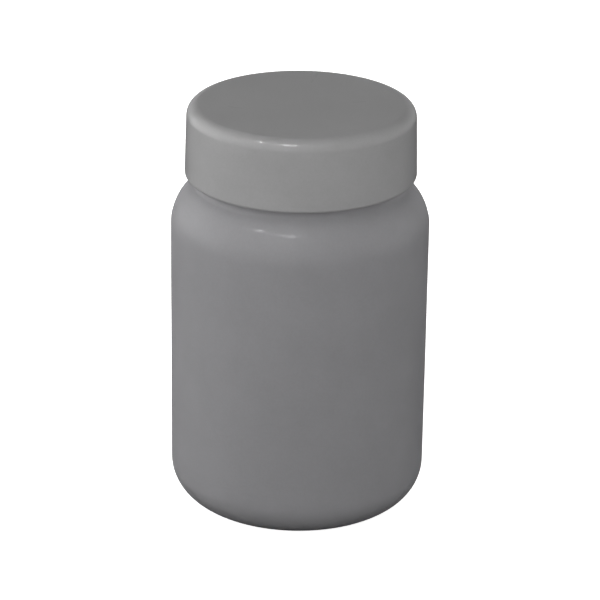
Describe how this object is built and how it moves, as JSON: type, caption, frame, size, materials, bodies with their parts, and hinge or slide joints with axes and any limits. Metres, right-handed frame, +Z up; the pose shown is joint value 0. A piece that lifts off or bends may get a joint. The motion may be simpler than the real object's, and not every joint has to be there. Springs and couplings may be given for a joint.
{
  "type": "wide-mouth reagent bottle",
  "caption": "Wide-mouth plastic reagent bottle with rounded shoulder and base, a smooth screw cap and a plug-type inner lid that the cap carries.",
  "frame": {"origin": "centre of the ring that the bottle stands on, at the height of the surface under it", "axes": "+Z up along the axis of the bottle and the cap; the bottle is round, so +X is free: it is the direction in which the neck's thread starts"},
  "size_m": [0.082, 0.082, 0.1333],
  "materials": {
    "bottle_plastic": "satin, faintly translucent polyethylene",
    "lid_plastic": "smooth soft polyethylene",
    "cap_plastic": "satin, smooth and unribbed"
  },
  "bodies": {
    "bottle": {"bottle": "bottle_plastic"},
    "lid": {"inner_lid": "lid_plastic"},
    "cap": {"screw_cap": "cap_plastic"}
  },
  "joints": [
    {"name": "cap_rise", "type": "slide", "parent": "bottle", "child": "lid", "axis": [0, 0, 1], "range_m": [0, 0.03]},
    {"name": "cap_turn", "type": "hinge", "parent": "lid", "child": "cap", "pos_m": [0, 0, 0.12], "axis": [0, 0, 1], "range_deg": [0, 2160]}
  ],
  "couplings": [
    {"joint": "cap_rise", "follows": "cap_turn", "m_per_rad": 0.00079577}
  ]
}
